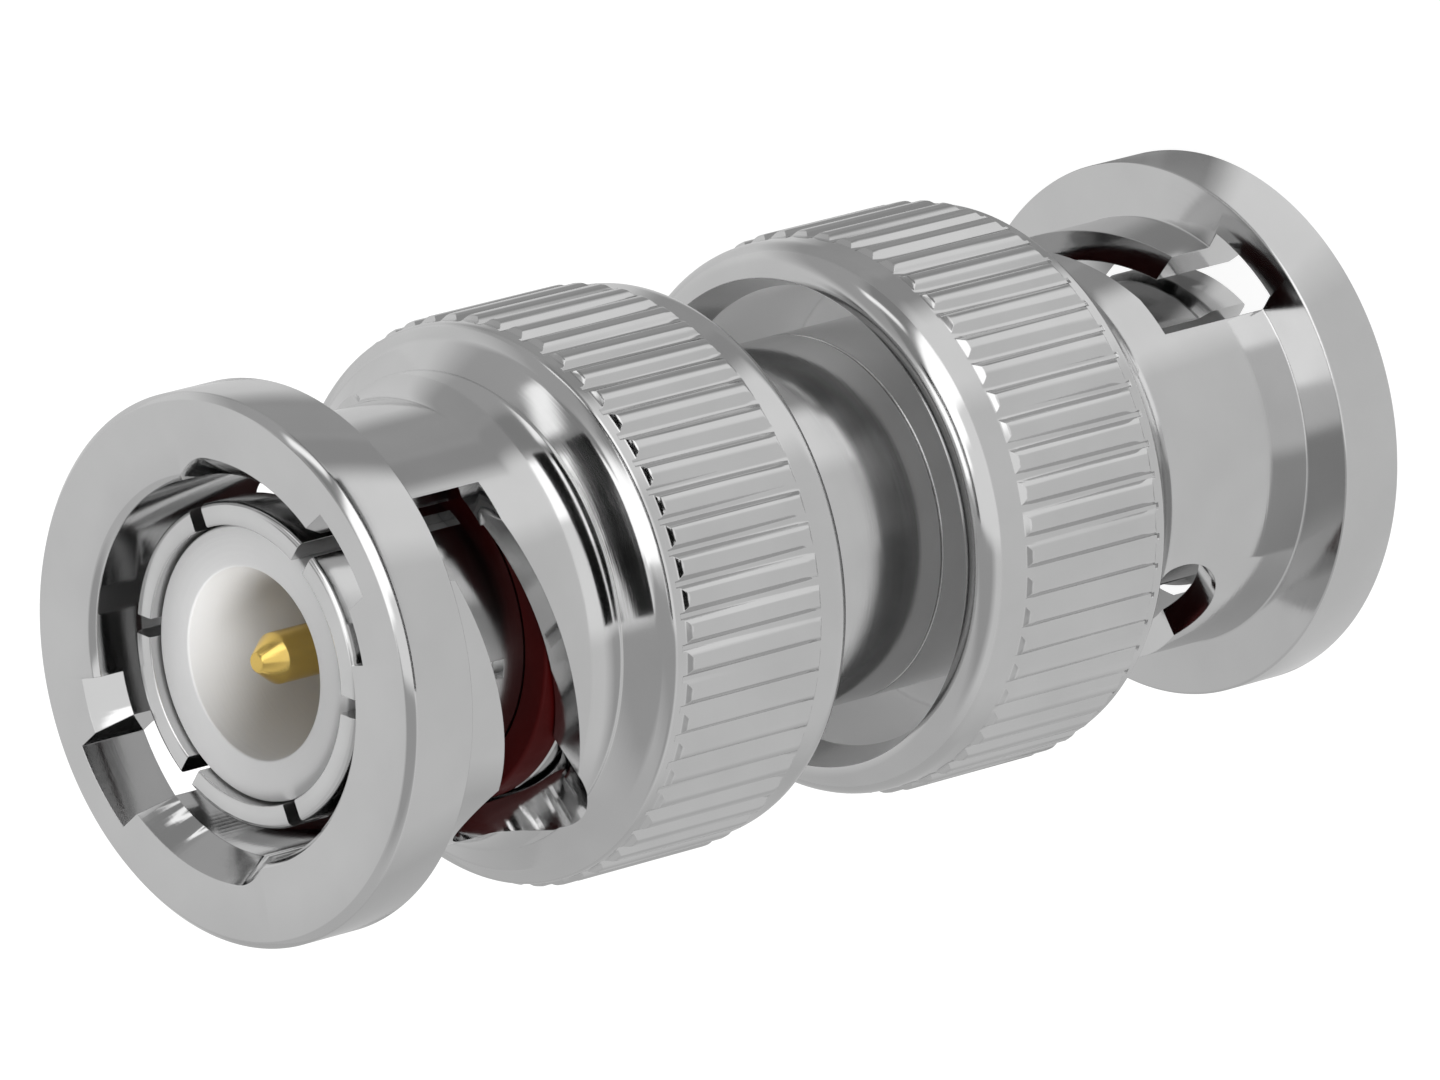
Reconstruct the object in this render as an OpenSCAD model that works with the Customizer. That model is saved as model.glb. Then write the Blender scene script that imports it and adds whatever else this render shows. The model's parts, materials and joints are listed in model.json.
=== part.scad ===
// Straight coaxial adapter with a bayonet coupling plug at each end, millimetres.
// The axis is Z and the part stands on the front face of its lower coupling nut.
// Each end is drawn once, as depth inwards from its own front face, and placed twice.
// The nut holds the fine work: a quarter-turn slanting lug slot with a round seat,
// an axial lug entry, a flared lead-in and a straight knurl.

/* [Overall] */
// Length over the front faces of both coupling nuts
overall_length = 35.2; // [35:0.1:42]
// Rest angle of the lug entry of the lower nut
lower_nut_turn = 1; // [0:0.1:90]
// Rest angle of the lug entry of the upper nut, seen from its own front
upper_nut_turn = 15.3; // [0:0.1:90]

/* [Coupling nut] */
// Length of the nut from front face to rear rim
nut_length = 15.3; // [15:0.1:16.5]
// Diameter of the front flange
flange_d = 14.4; // [13.8:0.1:16]
// Width of the front flange
flange_w = 2.1; // [1.4:0.1:2.8]
// Chamfer round the front of the flange
flange_chamfer = 0.2; // [0.1:0.05:0.4]
// Diameter of the neck that the lug slots cut through
neck_d = 11.5; // [11.1:0.1:12]
// Depth at which the neck ends and the shoulder rises
neck_end = 7.25; // [7:0.05:7.5]
// Radius of the fillet between neck and shoulder
shoulder_fillet = 0.5; // [0.2:0.05:0.6]
// Diameter of the small bead half way up the shoulder
bead_d = 12.56; // [12.3:0.02:13]
// Width of that bead
bead_w = 0.06; // [0.02:0.01:0.1]
// Diameter at the top of the shoulder
shoulder_d = 13.88; // [13.4:0.02:14.1]
// Diameter of the plain collars on both sides of the knurl
collar_d = 14.7; // [14.4:0.1:15]
// Width of the plain collar in front of the knurl
collar_w = 0.55; // [0.3:0.05:0.8]
// Bore of the nut round the outer contact
nut_bore_d = 9.9; // [9.8:0.02:10.2]
// Chamfer round the mouth of that bore
mouth_chamfer = 0.15; // [0.05:0.05:0.3]
// Thickness of the web that takes the spring load
web_w = 0.6; // [0.4:0.05:0.8]
// Bore of the open rear of the nut
rear_bore_d = 12.2; // [11.6:0.1:12.4]
// Width of the taper that opens the rear bore towards the rim
rear_taper_w = 1.1; // [0.5:0.1:1.6]
// Radius that rounds the rear rim
rim_r = 0.85; // [0.6:0.05:0.9]

/* [Knurl] */
// Diameter over the ridges
knurl_d = 15; // [14.9:0.1:16]
// Width of the knurled band
knurl_w = 4.7; // [3.5:0.1:4.8]
// Number of ridges
knurl_count = 56; // [40:2:64]
// Depth of the grooves between ridges
knurl_depth = 0.2; // [0.16:0.01:0.3]
// Width of a groove at the ridge tops
groove_top_w = 0.44; // [0.3:0.02:0.56]
// Width of a groove at its floor
groove_floor_w = 0.12; // [0.06:0.02:0.28]
// Run-out of each groove into the plain collars
groove_runout = 0.12; // [0.02:0.02:0.2]

/* [Bayonet] */
// Width of the axial entry that a lug slides in through
entry_w = 2.4; // [2.2:0.1:2.8]
// Depth of the end wall of that entry
entry_depth = 5.7; // [5.4:0.1:5.9]
// Diameter of the circle that the lug ends run on
lug_circle_d = 12.5; // [12.2:0.1:13]
// Width of the slanting slot along the axis
slot_w = 2.5; // [2.2:0.1:2.7]
// Advance of the slot along the axis in a full turn
slot_lead = 9; // [7:0.5:10]
// Turn from the entry to the locked seat
lock_turn = 86.4; // [80:0.4:92]
// Diameter of the round seat at the end of the slot
seat_d = 3.6; // [3.2:0.1:3.8]
// Distance that the seat lies forward of the slot's middle line
seat_drop = 0.2; // [0:0.05:0.4]
// Diameter of the flared lead-in on both sides of the entry
lead_in_d = 11.1; // [10.6:0.1:11.6]
// Depth of the lead-in
lead_in_w = 0.9; // [0.5:0.1:1.4]
// Angle that the lead-in covers on the side that a lug comes from
lead_in_turn = 58; // [30:1:70]
// Angle that it covers on the other side
back_lead_in_turn = 17; // [0:1:30]

/* [Outer contact] */
// Depth of the finger tips behind the front face of the nut
contact_setback = 0.8; // [0.4:0.1:1]
// Diameter over the finger tips
contact_tip_d = 8.48; // [8.3:0.02:8.7]
// Width of the full-size land at the finger tips
contact_tip_w = 1.3; // [1:0.1:2]
// Diameter of the contact behind its tips
contact_d = 8.1; // [7.9:0.02:8.14]
// Number of sawn slots, always even so that each saw cut goes right across
finger_count = 6; // [4:2:8]
// Width of a sawn slot
finger_gap = 0.5; // [0.3:0.05:0.7]
// Length of a sawn slot
finger_length = 5.2; // [4:0.1:5.6]

/* [Insulator] */
// Depth of the insulator's face behind the front face of the nut
insulator_setback = 1.1; // [0.8:0.1:1.5]
// Diameter of the insulator's head inside the fingers
insulator_d = 7.16; // [6.8:0.02:7.3]
// Bore of the socket round the centre pin
socket_d = 5; // [4.84:0.02:5.4]
// Depth of that socket
socket_w = 5.2; // [4.4:0.1:5.6]
// Diameter of the insulator's stem inside the body
stem_d = 5; // [4.4:0.1:5.2]

/* [Centre pin] */
// Diameter of the exposed pin
pin_d = 1.35; // [1.3:0.01:1.4]
// Depth of the pin's tip behind the front face of the nut
pin_setback = 1.2; // [0.8:0.1:1.6]
// Diameter of the small flat at the tip
pin_tip_d = 0.5; // [0.2:0.02:0.6]
// Length of the cone behind the tip
pin_cone_w = 0.6; // [0.5:0.05:1.2]
// Diameter of the pin inside the insulators
pin_core_d = 1.8; // [1.7:0.05:2.1]
// Diameter of the collar that traps the pin between the insulators
pin_collar_d = 2.6; // [2.2:0.1:3]
// Width of that collar
pin_collar_w = 3; // [2:0.1:4]

/* [Body and seal] */
// Depth of the gasket's front face
gasket_at = 6.7; // [6.6:0.05:6.8]
// Thickness of the gasket
gasket_w = 1; // [0.8:0.05:1.1]
// Thickness of the body's flange behind the gasket
body_flange_w = 0.7; // [0.6:0.05:0.9]
// Depth to which the outer contact is pressed into that flange
contact_seat = 0.5; // [0.3:0.05:0.5]
// Diameter of the body's tube behind the flange
tube_d = 6.4; // [6.2:0.1:6.8]
// Gap between the tubes of the two bodies at the middle
tube_gap = 0.6; // [0.2:0.1:1.4]

/* [Spring pack] */
// Thickness of the flat washer that the spring seats on
seat_washer_w = 0.15; // [0.1:0.01:0.2]
// Free height of the wave washer
wave_h = 0.65; // [0.5:0.01:0.7]
// Thickness of the wave washer's strip
wave_w = 0.14; // [0.1:0.01:0.2]
// Number of waves
wave_count = 3; // [3:1:4]
// Thickness of the thrust washer in front of the web
thrust_washer_w = 0.3; // [0.2:0.05:0.4]

/* [Sleeves and barrel] */
// Diameter of the rear sleeves and of the barrel
sleeve_d = 9.76; // [9.2:0.02:10]
// Length of the barrel between the sleeves
barrel_w = 6.06; // [5:0.02:7]
// Chamfer at the barrel's ends, which shows as a fine seam
barrel_chamfer = 0.08; // [0.03:0.01:0.12]

/* [Clearances] */
// Radial play of the flange, gasket and washers inside the nut's bore
bore_play = 0.1; // [0.05:0.01:0.12]
// Radial play of the nut's web and of the washers round the body's tube
tube_play = 0.08; // [0.05:0.01:0.12]
// Radial play of the insulator's head inside the outer contact
head_play = 0.05; // [0.02:0.01:0.1]
// Radial play of the gasket round the outer contact
gasket_play = 0.04; // [0.02:0.01:0.06]
// Gap between the web and the sleeve that stops it
stop_gap = 0.02; // [0.01:0.01:0.05]
// Small chamfer that breaks sharp edges
edge_break = 0.05; // [0.03:0.01:0.08]

/* [Hidden] */
$fn = 96;

middle = overall_length / 2;
past = 1;

// Stack of the pieces behind the gasket, as depths
flange_at = gasket_at + gasket_w;
flange_end = flange_at + body_flange_w;
wave_at = flange_end + seat_washer_w;
thrust_at = wave_at + wave_h;
web_at = thrust_at + thrust_washer_w;
web_end = web_at + web_w;
sleeve_at = web_end + stop_gap;
barrel_at = middle - barrel_w / 2;
contact_end = flange_at + contact_seat;
contact_bore_d = insulator_d + 2 * head_play;
socket_end = insulator_setback + socket_w;
pin_collar_at = middle - pin_collar_w / 2;

// Depths along the outside of the nut
bead_at = neck_end + (bead_d - neck_d) / 2 + shoulder_fillet * (sqrt(2) - 1);
shoulder_end = bead_at + bead_w + (shoulder_d - bead_d) / 2;
collar_chamfer = (collar_d - shoulder_d) / 2;
knurl_at = shoulder_end + collar_w;
knurl_end = knurl_at + knurl_w;
knurl_chamfer = (knurl_d - collar_d) / 2;
rear_mouth_d = collar_d - 2 * rim_r;

// Path of a lug through the nut
slot_start = entry_depth - slot_w / 2;
slot_lap = 0.2;
seat_at = slot_start + slot_lead * lock_turn / 360 - seat_drop;
entry_half_turn = asin(entry_w / lug_circle_d);

wave_steps = 72;
wave_lift = (wave_h - wave_w) / 2;

// Points of an arc from angle a to angle b about (x, y)
function arc(x, y, r, a, b, steps = 8) =
    [for (i = [0:steps]) [x + r * cos(a + (b - a) * i / steps), y + r * sin(a + (b - a) * i / steps)]];

// Middle depth of the slanting slot at a turn from the entry
function slot_middle(turn) = slot_start + slot_lead * turn / 360;

// Point at a radius, an angle and a depth
function polar(r, angle, depth) = [r * cos(angle), r * sin(angle), depth];

// Faces that close a tube or ring of four-sided sections
function quad_sides(i, j) =
    [for (k = [0:3]) [4 * i + k, 4 * j + k, 4 * j + (k + 1) % 4, 4 * i + (k + 1) % 4]];

// Turns an end drawn as depth so that it forms the top of the part
module at_top() {
    translate([0, 0, overall_length])
        rotate([180, 0, 0])
            children();
}

// Round ring between two diameters and two depths, with its edges broken
module ring(outer_d, inner_d, from, to, bevel = edge_break) {
    rotate_extrude()
        polygon([
            [inner_d / 2, from], [outer_d / 2 - bevel, from], [outer_d / 2, from + bevel],
            [outer_d / 2, to - bevel], [outer_d / 2 - bevel, to], [inner_d / 2, to]
        ]);
}

// Outside and bores of the coupling nut, before the bayonet and knurl are cut
module nut_blank() {
    flange_r = flange_d / 2;
    neck_r = neck_d / 2;
    collar_r = collar_d / 2;
    knurl_r = knurl_d / 2;
    bore_r = nut_bore_d / 2;
    web_r = tube_d / 2 + tube_play;
    rotate_extrude()
        polygon(concat(
            [
                [bore_r + mouth_chamfer, 0], [flange_r - flange_chamfer, 0],
                [flange_r, flange_chamfer], [flange_r, flange_w - edge_break],
                [flange_r - edge_break, flange_w], [neck_r, flange_w]
            ],
            [for (a = [0:9:45]) [
                neck_r + shoulder_fillet * (1 - cos(a)),
                neck_end + shoulder_fillet * sin(a)
            ]],
            [
                [bead_d / 2, bead_at], [bead_d / 2, bead_at + bead_w],
                [shoulder_d / 2, shoulder_end],
                [collar_r, shoulder_end + collar_chamfer / 2],
                [collar_r, knurl_at],
                [knurl_r, knurl_at + knurl_chamfer],
                [knurl_r, knurl_end - knurl_chamfer],
                [collar_r, knurl_end]
            ],
            arc(collar_r - rim_r, nut_length - rim_r, rim_r, 0, 90),
            [
                [rear_bore_d / 2, nut_length - rear_taper_w], [rear_bore_d / 2, web_end],
                [web_r + edge_break, web_end], [web_r, web_end - edge_break],
                [web_r, web_at], [bore_r, web_at], [bore_r, mouth_chamfer]
            ]
        ));
}

// Straight grooves of the knurl, cut in one go
module knurl_grooves() {
    floor_r = knurl_d / 2 - knurl_depth;
    outer_r = knurl_d / 2 + knurl_depth;
    spread = groove_top_w - groove_floor_w;
    translate([0, 0, knurl_at - groove_runout])
        linear_extrude(knurl_w + 2 * groove_runout)
            for (i = [0:knurl_count - 1])
                rotate(i * 360 / knurl_count)
                    polygon([
                        [floor_r, -groove_floor_w / 2], [outer_r, -groove_top_w / 2 - spread / 2],
                        [outer_r, groove_top_w / 2 + spread / 2], [floor_r, groove_floor_w / 2]
                    ]);
}

// Slanting part of a lug slot, milled straight across the chord from the entry to the seat
module slanting_slot() {
    half_turn = lock_turn / 2;
    half_chord = neck_d / 2 * sin(half_turn);
    slant = atan(slot_lead * half_turn / 360 / half_chord);
    length = lug_circle_d * sin(half_turn) / cos(slant);
    width = slot_w * cos(slant);
    rotate([0, 0, half_turn])
        translate([nut_bore_d / 2 * cos(half_turn) - slot_lap, 0, slot_middle(half_turn)])
            rotate([slant, 0, 0])
                translate([0, -length / 2, -width / 2])
                    cube([lug_circle_d, length, width]);
}

// Whole path of one lug: axial entry, slanting slot and round seat
module lug_path() {
    intersection() {
        translate([0, 0, -past])
            cylinder(d = lug_circle_d, h = nut_length);
        union() {
            translate([nut_bore_d / 2 - past, -entry_w / 2, -past])
                cube([lug_circle_d, entry_w, entry_depth + past]);
            slanting_slot();
            rotate([0, 0, lock_turn])
                translate([nut_bore_d / 2 - past, 0, seat_at])
                    rotate([0, 90, 0])
                        cylinder(d = seat_d, h = lug_circle_d);
        }
    }
}

// Flared lead-in of the entry, long on the side that a lug comes from and short on the other
module lead_in() {
    rotate([0, 0, -entry_half_turn - lead_in_turn])
        rotate_extrude(angle = lead_in_turn + 2 * entry_half_turn + back_lead_in_turn)
            polygon([
                [nut_bore_d / 2 - past, -past], [lead_in_d / 2, -past], [lead_in_d / 2, 0],
                [nut_bore_d / 2, lead_in_w], [nut_bore_d / 2 - past, lead_in_w]
            ]);
}

// Coupling nut with its bayonet, drawn with one lug entry on +X
module coupling_nut() {
    difference() {
        nut_blank();
        knurl_grooves();
        for (side = [0, 180])
            rotate([0, 0, side]) {
                lug_path();
                lead_in();
            }
    }
}

// Body of one end: flange with a socket for the outer contact, and a tube behind it
module body() {
    outer_r = nut_bore_d / 2 - bore_play;
    rotate_extrude()
        polygon([
            [contact_d / 2, flange_at], [outer_r - edge_break, flange_at],
            [outer_r, flange_at + edge_break], [outer_r, flange_end - edge_break],
            [outer_r - edge_break, flange_end], [tube_d / 2, flange_end],
            [tube_d / 2, middle - tube_gap / 2], [stem_d / 2, middle - tube_gap / 2],
            [stem_d / 2, contact_end], [contact_d / 2, contact_end]
        ]);
}

// Slotted outer contact with full-size finger tips
module outer_contact() {
    tip_r = contact_tip_d / 2;
    land_end = contact_setback + contact_tip_w;
    relief = contact_tip_d - contact_d;
    difference() {
        rotate_extrude()
            polygon([
                [contact_bore_d / 2 + edge_break, contact_setback],
                [tip_r - 2 * edge_break, contact_setback],
                [tip_r - edge_break / 2, contact_setback + edge_break / 2],
                [tip_r, contact_setback + 2 * edge_break],
                [tip_r, land_end], [contact_d / 2, land_end + relief],
                [contact_d / 2, contact_end], [contact_bore_d / 2, contact_end],
                [contact_bore_d / 2, contact_setback + edge_break]
            ]);
        for (i = [0:finger_count / 2 - 1])
            rotate([0, 0, i * 360 / finger_count])
                translate([-contact_tip_d, -finger_gap / 2, contact_setback - past])
                    cube([2 * contact_tip_d, finger_gap, finger_length + past]);
    }
}

// Insulator: a socketed head inside the fingers and a stem inside the body
module insulator() {
    head_r = insulator_d / 2;
    rotate_extrude()
        polygon([
            [socket_d / 2 + edge_break, insulator_setback],
            [head_r - edge_break, insulator_setback],
            [head_r, insulator_setback + edge_break],
            [head_r, contact_end], [stem_d / 2, contact_end],
            [stem_d / 2, middle], [pin_collar_d / 2, middle],
            [pin_collar_d / 2, pin_collar_at], [pin_core_d / 2, pin_collar_at],
            [pin_core_d / 2, socket_end], [socket_d / 2, socket_end],
            [socket_d / 2, insulator_setback + edge_break]
        ]);
}

// Soft ring that seals the face of the mating socket
module gasket() {
    ring(nut_bore_d - 2 * bore_play, contact_d + 2 * gasket_play, gasket_at, flange_at, 2 * edge_break);
}

// Flat washer between two depths in the annulus round the body's tube
module flat_washer(from, to) {
    ring(nut_bore_d - 2 * bore_play, tube_d + 2 * tube_play, from, to, edge_break / 2);
}

// Wave washer, a thin strip that rises and falls round the tube
module wave_washer() {
    inner_r = tube_d / 2 + tube_play;
    outer_r = nut_bore_d / 2 - bore_play;
    sections = [for (i = [0:wave_steps - 1])
        let (
            angle = 360 * i / wave_steps,
            low = wave_at + wave_lift * (1 + cos(wave_count * angle))
        )
        [
            polar(inner_r, angle, low), polar(outer_r, angle, low),
            polar(outer_r, angle, low + wave_w), polar(inner_r, angle, low + wave_w)
        ]];
    polyhedron(
        points = [for (s = sections) each s],
        faces = [for (i = [0:wave_steps - 1]) each quad_sides(i, (i + 1) % wave_steps)]
    );
}

// Sleeve pressed on the tube behind the web, which keeps the nut on
module sleeve() {
    ring(sleeve_d, tube_d, sleeve_at, barrel_at, edge_break);
}

// Plain middle barrel that joins both bodies
module barrel_part() {
    ring(sleeve_d, tube_d, barrel_at, overall_length - barrel_at, barrel_chamfer);
}

// Centre pin, one turned piece with a tip at each end
module pin_part() {
    half = [
        [0, middle - pin_setback], [pin_tip_d / 2, middle - pin_setback],
        [pin_d / 2, middle - pin_setback - pin_cone_w], [pin_d / 2, middle - socket_end],
        [pin_core_d / 2, middle - socket_end], [pin_core_d / 2, pin_collar_w / 2],
        [pin_collar_d / 2, pin_collar_w / 2]
    ];
    translate([0, 0, middle])
        rotate_extrude()
            polygon(concat(half, [for (i = [len(half) - 1:-1:0]) [half[i][0], -half[i][1]]]));
}

module upper_coupling_nut() {
    color("gainsboro")
        at_top()
            rotate([0, 0, upper_nut_turn])
                coupling_nut();
}

module lower_coupling_nut() {
    color("gainsboro")
        rotate([0, 0, lower_nut_turn])
            coupling_nut();
}

module upper_body() { color("silver") at_top() body(); }
module lower_body() { color("silver") body(); }
module upper_outer_contact() { color("lightgray") at_top() outer_contact(); }
module lower_outer_contact() { color("lightgray") outer_contact(); }
module upper_insulator() { color("white") at_top() insulator(); }
module lower_insulator() { color("white") insulator(); }
module upper_gasket() { color("firebrick") at_top() gasket(); }
module lower_gasket() { color("firebrick") gasket(); }
module upper_seat_washer() { color("darkgray") at_top() flat_washer(flange_end, wave_at); }
module lower_seat_washer() { color("darkgray") flat_washer(flange_end, wave_at); }
module upper_wave_washer() { color("slategray") at_top() wave_washer(); }
module lower_wave_washer() { color("slategray") wave_washer(); }
module upper_thrust_washer() { color("darkgray") at_top() flat_washer(thrust_at, web_at); }
module lower_thrust_washer() { color("darkgray") flat_washer(thrust_at, web_at); }
module upper_sleeve() { color("silver") at_top() sleeve(); }
module lower_sleeve() { color("silver") sleeve(); }
module barrel() { color("silver") barrel_part(); }
module centre_pin() { color("gold") pin_part(); }

upper_coupling_nut();
lower_coupling_nut();
upper_body();
lower_body();
upper_outer_contact();
lower_outer_contact();
upper_insulator();
lower_insulator();
upper_gasket();
lower_gasket();
upper_seat_washer();
lower_seat_washer();
upper_wave_washer();
lower_wave_washer();
upper_thrust_washer();
lower_thrust_washer();
upper_sleeve();
lower_sleeve();
barrel();
centre_pin();
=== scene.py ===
"""Looks of a straight coaxial adapter that has a bayonet coupling plug at each end.

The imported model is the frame. Every piece is built in that frame, in metres, stands where the
CAD node that it replaces stands, and rides on that node's body. Sizes are in millimetres, as
depths inwards from the front face of an end and radii from the axis.

Corners that must not meet stay CLEAR of each other, a face is told by its place within SLACK, and a
cutter goes PAST the face that it opens. A rounding has the first number of ARC_STEPS, or the second
one from LARGE_ARC up.
"""

import json
import logging
import math
from dataclasses import dataclass, field
from enum import Enum
from typing import Sequence

import bmesh
import bpy
from bmesh.types import BMEdge, BMesh
from bpy.types import ID, Material, Node, NodeSocket, NodeTree, Object
from mathutils import Matrix, Vector


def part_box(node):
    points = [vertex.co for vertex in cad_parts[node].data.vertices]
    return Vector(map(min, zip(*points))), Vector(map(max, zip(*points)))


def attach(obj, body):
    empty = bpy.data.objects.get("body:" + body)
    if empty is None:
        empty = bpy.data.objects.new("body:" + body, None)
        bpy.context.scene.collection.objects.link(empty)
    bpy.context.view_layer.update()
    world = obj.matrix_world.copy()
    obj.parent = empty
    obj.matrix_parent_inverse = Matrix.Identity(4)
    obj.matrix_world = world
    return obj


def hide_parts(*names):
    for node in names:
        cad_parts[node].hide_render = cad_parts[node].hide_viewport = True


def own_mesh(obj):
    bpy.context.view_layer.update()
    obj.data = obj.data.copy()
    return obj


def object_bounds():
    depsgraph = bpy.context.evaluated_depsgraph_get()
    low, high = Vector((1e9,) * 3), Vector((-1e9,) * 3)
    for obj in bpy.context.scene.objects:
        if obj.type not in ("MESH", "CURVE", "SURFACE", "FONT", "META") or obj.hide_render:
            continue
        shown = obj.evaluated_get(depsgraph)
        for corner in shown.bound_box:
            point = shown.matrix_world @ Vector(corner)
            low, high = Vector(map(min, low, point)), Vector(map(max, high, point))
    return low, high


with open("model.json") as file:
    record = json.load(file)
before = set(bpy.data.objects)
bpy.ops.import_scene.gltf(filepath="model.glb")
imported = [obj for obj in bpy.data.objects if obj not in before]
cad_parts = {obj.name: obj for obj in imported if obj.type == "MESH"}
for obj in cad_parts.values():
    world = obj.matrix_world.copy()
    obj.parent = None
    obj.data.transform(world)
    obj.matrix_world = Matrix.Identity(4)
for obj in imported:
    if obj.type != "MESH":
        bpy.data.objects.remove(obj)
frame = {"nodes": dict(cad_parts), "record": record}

LOG = logging.getLogger("coaxial_adapter")
MM = 0.001
ROUND_STEPS = 224
ARC_STEPS = (3, 12)
LARGE_ARC = 0.3
CLEAR = 0.01
SLACK = 0.02
PAST = 1.0
CAD_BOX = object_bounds()
LENGTH = CAD_BOX[1][2] / MM
PIN_CORE_R, PIN_COLLAR_R, PIN_COLLAR_W = 0.9, 1.3, 3.0
Colour = tuple[float, float, float]
WHITE = (1, 1, 1, 1)


class Slot(Enum):
    """Material slots of the record."""

    NICKEL = "nickel_plate"
    GOLD = "gold_plate"
    FLUOROPOLYMER = "ptfe"
    RUBBER = "seal_rubber"
    SPRING_STEEL = "spring_steel"


class End(Enum):
    """The two ends of the adapter, which are built alike."""

    UPPER = "upper"
    LOWER = "lower"

    def node(self, part: str) -> str:
        """Name of this end's CAD node for a part."""
        return f"{self.value}_{part}"

    def placement(self) -> Matrix:
        """Matrix from depths inwards from the front face, in millimetres, to the frame."""
        if self is End.LOWER:
            return Matrix.Scale(MM, 4)
        lift = Matrix.Translation((0, 0, LENGTH * MM))
        return lift @ Matrix.Rotation(math.pi, 4, "X") @ Matrix.Scale(MM, 4)


# ---- shader graphs


class Graph:
    """Short calls that add and join the nodes of one node tree."""

    def __init__(self, tree: NodeTree) -> None:
        """Keeps the tree that the nodes go into."""
        self.tree = tree

    def add(self, kind: str, **settings: object) -> Node:
        """Adds a node.

        Args:
            kind: Blender's name of the node type.
            **settings: properties of the node.

        Returns:
            The new node.
        """
        node = self.tree.nodes.new(kind)
        for name, value in settings.items():
            setattr(node, name, value)
        return node

    def feed(self, socket: NodeSocket, source: object) -> None:
        """Joins another node's output to a socket, or sets the socket's own value."""
        if isinstance(source, NodeSocket):
            self.tree.links.new(source, socket)
        else:
            socket.default_value = source

    def fill(self, node: Node, sources: dict[str, object]) -> None:
        """Feeds the named inputs of a node."""
        for name, source in sources.items():
            self.feed(node.inputs[name], source)

    def place(self) -> NodeSocket:
        """Position in the piece's own space."""
        return self.add("ShaderNodeTexCoord").outputs["Object"]

    def math(self, operation: str, *sources: object) -> NodeSocket:
        """Adds a Math node.

        Args:
            operation: Blender's name of the operation.
            *sources: outputs or numbers for its inputs.

        Returns:
            The node's output.
        """
        node = self.add("ShaderNodeMath", operation=operation)
        for socket, source in zip(node.inputs, sources):
            self.feed(socket, source)
        return node.outputs[0]

    def noise(self, vector: object, scale: object, detail: float) -> NodeSocket:
        """Adds a Noise Texture and returns its value output."""
        node = self.add("ShaderNodeTexNoise")
        self.fill(node, {"Vector": vector, "Scale": scale, "Detail": detail})
        return node.outputs[0]

    def bump(self, height: object, depth: float, normal: object = None) -> NodeSocket:
        """Adds a Bump node.

        Args:
            height: output that raises the surface.
            depth: height of its full range, in millimetres.
            normal: output with the normal to start from.

        Returns:
            The bumped normal.
        """
        node = self.add("ShaderNodeBump")
        self.fill(node, {"Height": height, "Distance": depth * MM})
        if normal is not None:
            self.feed(node.inputs["Normal"], normal)
        return node.outputs[0]

    def spread(self, value: object, low: float, high: float, to_low: object, to_high: object) -> NodeSocket:
        """Maps a value from one range to another, clamped.

        Args:
            value: output to map.
            low: start of its range.
            high: end of its range.
            to_low: result at the start.
            to_high: result at the end.

        Returns:
            The node's output.
        """
        node = self.add("ShaderNodeMapRange", clamp=True)
        for socket, source in zip(node.inputs, (value, low, high, to_low, to_high)):
            self.feed(socket, source)
        return node.outputs[0]

    def blend(self, factor: object, first: Colour, second: Colour) -> NodeSocket:
        """Mixes two colours.

        Args:
            factor: share of the second colour.
            first: the first colour.
            second: the second colour.

        Returns:
            The mixed colour.
        """
        node = self.add("ShaderNodeMix", data_type="RGBA")
        for name, source in (("Factor_Float", factor), ("A_Color", (*first, 1)), ("B_Color", (*second, 1))):
            socket = next(item for item in node.inputs if item.identifier == name)
            self.feed(socket, source)
        return next(item for item in node.outputs if item.identifier == "Result_Color")

    def group(self, tree: NodeTree, **values: object) -> Node:
        """Adds a node group with values for its named inputs."""
        node = self.add("ShaderNodeGroup", node_tree=tree)
        self.fill(node, values)
        return node


def new_group(name: str, inputs: dict[str, float], outputs: Sequence[str]) -> tuple[Graph, dict, dict]:
    """Starts a shader node group.

    Args:
        name: name of the group.
        inputs: default of each named float input.
        outputs: names of the float outputs.

    Returns:
        The group's graph, its input sockets by name and its output sockets by name.
    """
    tree = bpy.data.node_groups.new(name, "ShaderNodeTree")
    for label, value in inputs.items():
        socket = tree.interface.new_socket(label, in_out="INPUT", socket_type="NodeSocketFloat")
        socket.default_value = value
    for label in outputs:
        tree.interface.new_socket(label, in_out="OUTPUT", socket_type="NodeSocketFloat")
    graph = Graph(tree)
    start = graph.add("NodeGroupInput")
    end = graph.add("NodeGroupOutput")
    return graph, dict(start.outputs.items()), dict(end.inputs.items())


def lathe_marks_group() -> NodeTree:
    """Fine rings that the lathe tool leaves round the axis, broken here and there.

    Returns:
        A group with inputs Pitch, in millimetres, and Break, and the output Height.
    """
    graph, given, result = new_group("lathe_marks", {"Pitch": 0.05, "Break": 0.3}, ["Height"])
    parts = graph.add("ShaderNodeSeparateXYZ")
    graph.feed(parts.inputs[0], graph.place())
    x, y, z = parts.outputs
    squares = (graph.math("MULTIPLY", side, side) for side in (x, y))
    radius = graph.math("SQRT", graph.math("ADD", *squares))
    per_mm = graph.math("DIVIDE", 1 / MM, given["Pitch"])
    drift = graph.math("MULTIPLY", graph.math("ADD", x, y), graph.math("DIVIDE", given["Break"], MM))
    across, along = (graph.math("MULTIPLY", size, per_mm) for size in (radius, z))
    rings = graph.add("ShaderNodeCombineXYZ")
    graph.fill(rings, {"X": across, "Y": along, "Z": drift})
    graph.feed(result["Height"], graph.noise(rings.outputs[0], 1.0, 2.0))
    return graph.tree


HAZE_FROM, HAZE_FULL = 0.35, 0.68
SPECK_CORE, SPECK_RIM = 0.02, 0.14


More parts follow.
